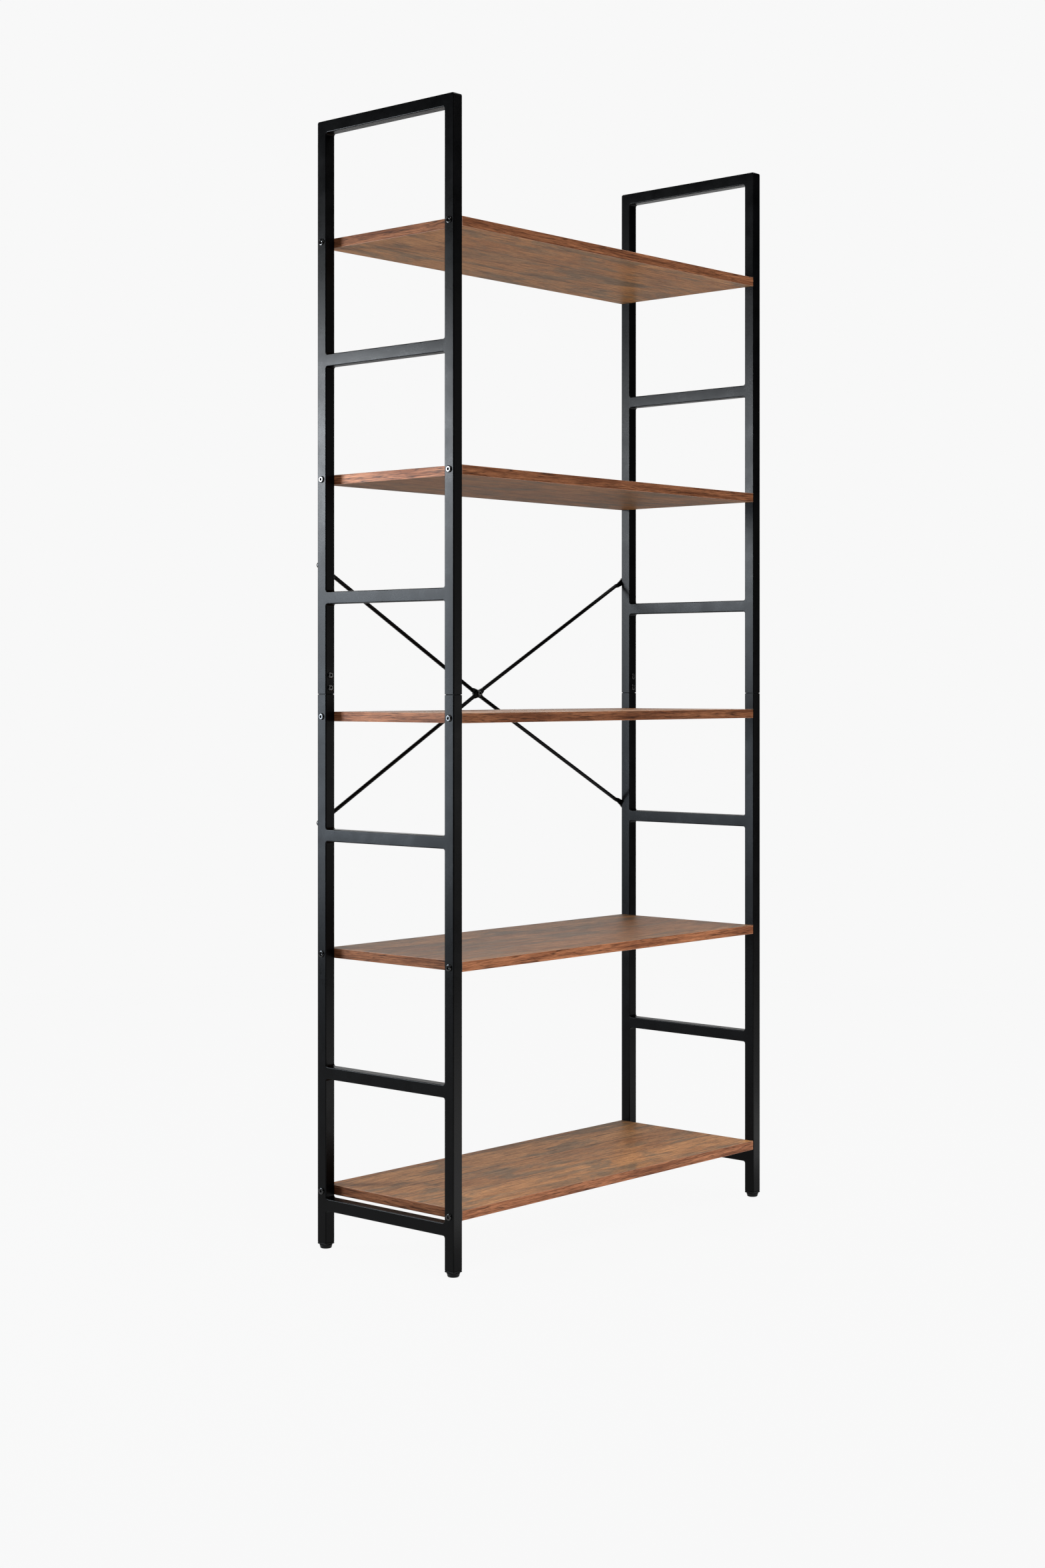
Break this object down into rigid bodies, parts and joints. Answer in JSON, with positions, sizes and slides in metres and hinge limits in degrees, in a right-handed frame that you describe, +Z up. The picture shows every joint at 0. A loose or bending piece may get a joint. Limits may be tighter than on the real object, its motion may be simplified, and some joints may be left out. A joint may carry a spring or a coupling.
{
  "type": "bookcase",
  "caption": "Tall open bookcase with wood-effect boards bolted between welded square-tube ladder sides, crossed rods at the back and screw-in levelling feet.",
  "frame": {"origin": "on the floor, below the middle of the outer box", "axes": "+Z up, +X to the right when facing the open front, -Y to the open front; the crossed rods are at the back, +Y"},
  "size_m": [0.7714, 0.317, 1.7585],
  "materials": {
    "powder_coat": "fine-textured satin black powder coat",
    "laminate": "matt rustic reddish-brown wood-effect laminate with a matching edge band",
    "black_fasteners": "glossy black button heads with hex sockets",
    "black_plastic": "satin black moulded plastic"
  },
  "bodies": {
    "case": {"left_frame_upper": "powder_coat", "left_frame_lower": "powder_coat", "right_frame_upper": "powder_coat", "right_frame_lower": "powder_coat", "shelf_bottom": "laminate", "shelf_lower": "laminate", "shelf_middle": "laminate", "shelf_upper": "laminate", "shelf_top": "laminate", "post_sleeve_left_front": "powder_coat", "sleeve_screw_left_front_1": "black_fasteners", "sleeve_screw_left_front_2": "black_fasteners", "shelf_bolt_bottom_left_front": "black_fasteners", "shelf_bolt_lower_left_front": "black_fasteners", "shelf_bolt_middle_left_front": "black_fasteners", "shelf_bolt_upper_left_front": "black_fasteners", "shelf_bolt_top_left_front": "black_fasteners", "foot_insert_left_front": "black_plastic", "post_sleeve_left_rear": "powder_coat", "sleeve_screw_left_rear_1": "black_fasteners", "sleeve_screw_left_rear_2": "black_fasteners", "shelf_bolt_bottom_left_rear": "black_fasteners", "shelf_bolt_lower_left_rear": "black_fasteners", "shelf_bolt_middle_left_rear": "black_fasteners", "shelf_bolt_upper_left_rear": "black_fasteners", "shelf_bolt_top_left_rear": "black_fasteners", "foot_insert_left_rear": "black_plastic", "post_sleeve_right_front": "powder_coat", "sleeve_screw_right_front_1": "black_fasteners", "sleeve_screw_right_front_2": "black_fasteners", "shelf_bolt_bottom_right_front": "black_fasteners", "shelf_bolt_lower_right_front": "black_fasteners", "shelf_bolt_middle_right_front": "black_fasteners", "shelf_bolt_upper_right_front": "black_fasteners", "shelf_bolt_top_right_front": "black_fasteners", "foot_insert_right_front": "black_plastic", "post_sleeve_right_rear": "powder_coat", "sleeve_screw_right_rear_1": "black_fasteners", "sleeve_screw_right_rear_2": "black_fasteners", "shelf_bolt_bottom_right_rear": "black_fasteners", "shelf_bolt_lower_right_rear": "black_fasteners", "shelf_bolt_middle_right_rear": "black_fasteners", "shelf_bolt_upper_right_rear": "black_fasteners", "shelf_bolt_top_right_rear": "black_fasteners", "foot_insert_right_rear": "black_plastic", "brace_rod_front": "powder_coat", "brace_rod_rear": "powder_coat", "brace_bolt_left_lower": "black_fasteners", "brace_bolt_left_upper": "black_fasteners", "brace_bolt_right_lower": "black_fasteners", "brace_bolt_right_upper": "black_fasteners", "brace_hub_bolt": "black_fasteners", "brace_hub_nut": "black_fasteners"},
    "foot_left_front": {"levelling_foot_left_front": "black_plastic"},
    "foot_left_rear": {"levelling_foot_left_rear": "black_plastic"},
    "foot_right_front": {"levelling_foot_right_front": "black_plastic"},
    "foot_right_rear": {"levelling_foot_right_rear": "black_plastic"}
  },
  "joints": [
    {"name": "foot_left_front_screw", "type": "slide", "parent": "case", "child": "foot_left_front", "axis": [0, 0, -1], "range_m": [0, 0.01]},
    {"name": "foot_left_rear_screw", "type": "slide", "parent": "case", "child": "foot_left_rear", "axis": [0, 0, -1], "range_m": [0, 0.01]},
    {"name": "foot_right_front_screw", "type": "slide", "parent": "case", "child": "foot_right_front", "axis": [0, 0, -1], "range_m": [0, 0.01]},
    {"name": "foot_right_rear_screw", "type": "slide", "parent": "case", "child": "foot_right_rear", "axis": [0, 0, -1], "range_m": [0, 0.01]}
  ]
}
